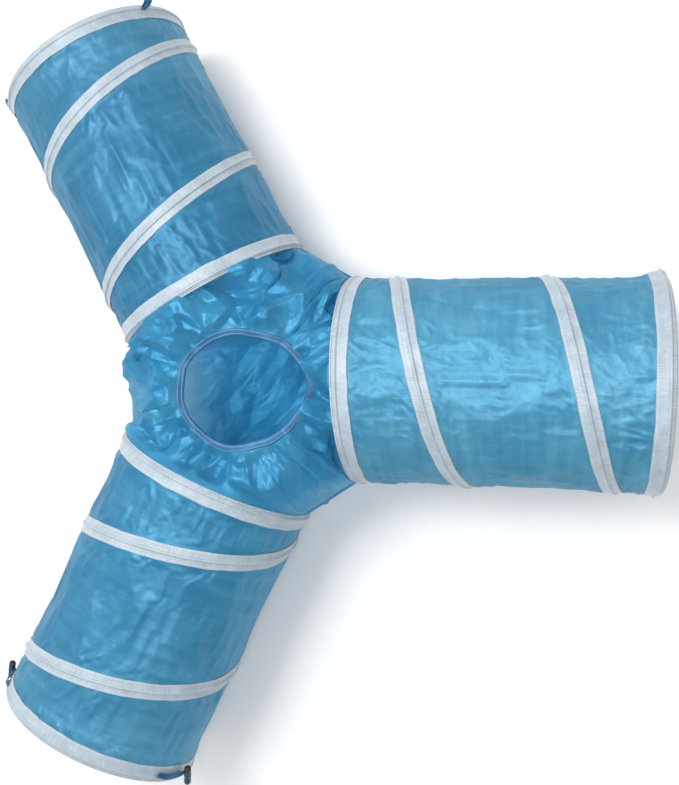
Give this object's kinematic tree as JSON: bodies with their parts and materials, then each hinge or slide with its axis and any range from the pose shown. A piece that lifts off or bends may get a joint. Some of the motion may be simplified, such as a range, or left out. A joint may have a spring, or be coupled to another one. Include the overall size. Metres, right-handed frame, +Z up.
{
  "type": "three-way collapsible pet tunnel",
  "caption": "Three-way pop-open pet agility tunnel: sprung fabric arms with taped coils joined by a soft hub with a peephole, with loops and toggles at the mouths.",
  "frame": {"origin": "centre of the flat patch of the hub's floor panel, on the ground", "axes": "+X along arm A, +Z up, arm B towards +Y and arm C towards -Y, both leaning back from the hub"},
  "size_m": [0.8175, 0.9711, 0.2546],
  "materials": {
    "blue_fabric": "satin",
    "white_tape": "satin",
    "spring_steel": "satin",
    "crackle_film": "matte",
    "toggle_plastic": "satin"
  },
  "bodies": {
    "hub": {"hub_roof_panel": "blue_fabric", "hub_floor_panel": "blue_fabric", "hub_seam_bindings": "blue_fabric", "peephole_binding": "blue_fabric", "arm_a_crackle_film": "crackle_film", "arm_a_fabric_tube": "blue_fabric", "arm_a_coil_spring": "spring_steel", "arm_a_coil_tape": "white_tape", "arm_a_inner_hoop": "spring_steel", "arm_a_inner_hoop_tape": "white_tape", "arm_a_inner_crimp": "spring_steel", "arm_b_fabric_tube": "blue_fabric", "arm_b_coil_spring": "spring_steel", "arm_b_coil_tape": "white_tape", "arm_b_inner_hoop": "spring_steel", "arm_b_inner_hoop_tape": "white_tape", "arm_b_inner_crimp": "spring_steel", "arm_c_fabric_tube": "blue_fabric", "arm_c_coil_spring": "spring_steel", "arm_c_coil_tape": "white_tape", "arm_c_inner_hoop": "spring_steel", "arm_c_inner_hoop_tape": "white_tape", "arm_c_inner_crimp": "spring_steel"},
    "arm_a_mouth": {"arm_a_outer_hoop": "spring_steel", "arm_a_outer_hoop_tape": "white_tape", "arm_a_outer_crimp": "spring_steel"},
    "arm_b_mouth": {"arm_b_outer_hoop": "spring_steel", "arm_b_outer_hoop_tape": "white_tape", "arm_b_outer_crimp": "spring_steel"},
    "arm_c_mouth": {"arm_c_outer_hoop": "spring_steel", "arm_c_outer_hoop_tape": "white_tape", "arm_c_outer_crimp": "spring_steel"},
    "arm_b_loop_1": {"arm_b_loop_1": "blue_fabric"},
    "arm_b_loop_2": {"arm_b_loop_2": "blue_fabric"},
    "toggle_1_strap": {"toggle_1_strap": "blue_fabric"},
    "toggle_1": {"toggle_1_barrel": "toggle_plastic", "toggle_1_wrap": "blue_fabric"},
    "toggle_2_strap": {"toggle_2_strap": "blue_fabric"},
    "toggle_2": {"toggle_2_barrel": "toggle_plastic", "toggle_2_wrap": "blue_fabric"}
  },
  "joints": [
    {"name": "arm_a_collapse", "type": "slide", "parent": "hub", "child": "arm_a_mouth", "axis": [1, 0, 0], "range_m": [-0.295, 0], "stiffness_N_per_m": 12, "springref_m": 0.08, "deforming": ["arm_a_fabric_tube", "arm_a_coil_spring", "arm_a_coil_tape", "arm_a_crackle_film"]},
    {"name": "arm_b_collapse", "type": "slide", "parent": "hub", "child": "arm_b_mouth", "axis": [-0.4695, 0.8829, 0], "range_m": [-0.295, 0], "stiffness_N_per_m": 12, "springref_m": 0.08, "deforming": ["arm_b_fabric_tube", "arm_b_coil_spring", "arm_b_coil_tape"]},
    {"name": "arm_c_collapse", "type": "slide", "parent": "hub", "child": "arm_c_mouth", "axis": [-0.4384, -0.8988, 0], "range_m": [-0.295, 0], "stiffness_N_per_m": 12, "springref_m": 0.08, "deforming": ["arm_c_fabric_tube", "arm_c_coil_spring", "arm_c_coil_tape"]},
    {"name": "arm_b_loop_1_flex", "type": "hinge", "parent": "arm_b_mouth", "child": "arm_b_loop_1", "pos_m": [-0.12859, 0.4662, 0.20383], "axis": [0.519, 0.2759, -0.809], "range_deg": [-40, 40], "stiffness_Nm_per_rad": 0.0006},
    {"name": "arm_b_loop_2_flex", "type": "hinge", "parent": "arm_b_mouth", "child": "arm_b_loop_2", "pos_m": [-0.33066, 0.36725, 0.1571], "axis": [0.2136, 0.1136, 0.9703], "range_deg": [-40, 40], "stiffness_Nm_per_rad": 0.0006},
    {"name": "toggle_1_strap_lift", "type": "hinge", "parent": "arm_c_mouth", "child": "toggle_1_strap", "pos_m": [-0.10274, -0.46947, 0.18763], "axis": [-0.4384, -0.8988, 0], "range_deg": [0, 60]},
    {"name": "toggle_1_turn", "type": "hinge", "parent": "toggle_1_strap", "child": "toggle_1", "pos_m": [-0.08603, -0.47763, 0.14822], "axis": [0.8877, -0.433, 0.1564], "range_deg": [-60, 60]},
    {"name": "toggle_2_strap_lift", "type": "hinge", "parent": "arm_c_mouth", "child": "toggle_2_strap", "pos_m": [-0.30853, -0.36911, 0.18363], "axis": [0.4384, 0.8988, 0], "range_deg": [0, 60]},
    {"name": "toggle_2_turn", "type": "hinge", "parent": "toggle_2_strap", "child": "toggle_2", "pos_m": [-0.32399, -0.36156, 0.14359], "axis": [-0.8921, 0.4351, 0.1219], "range_deg": [-60, 60]}
  ]
}
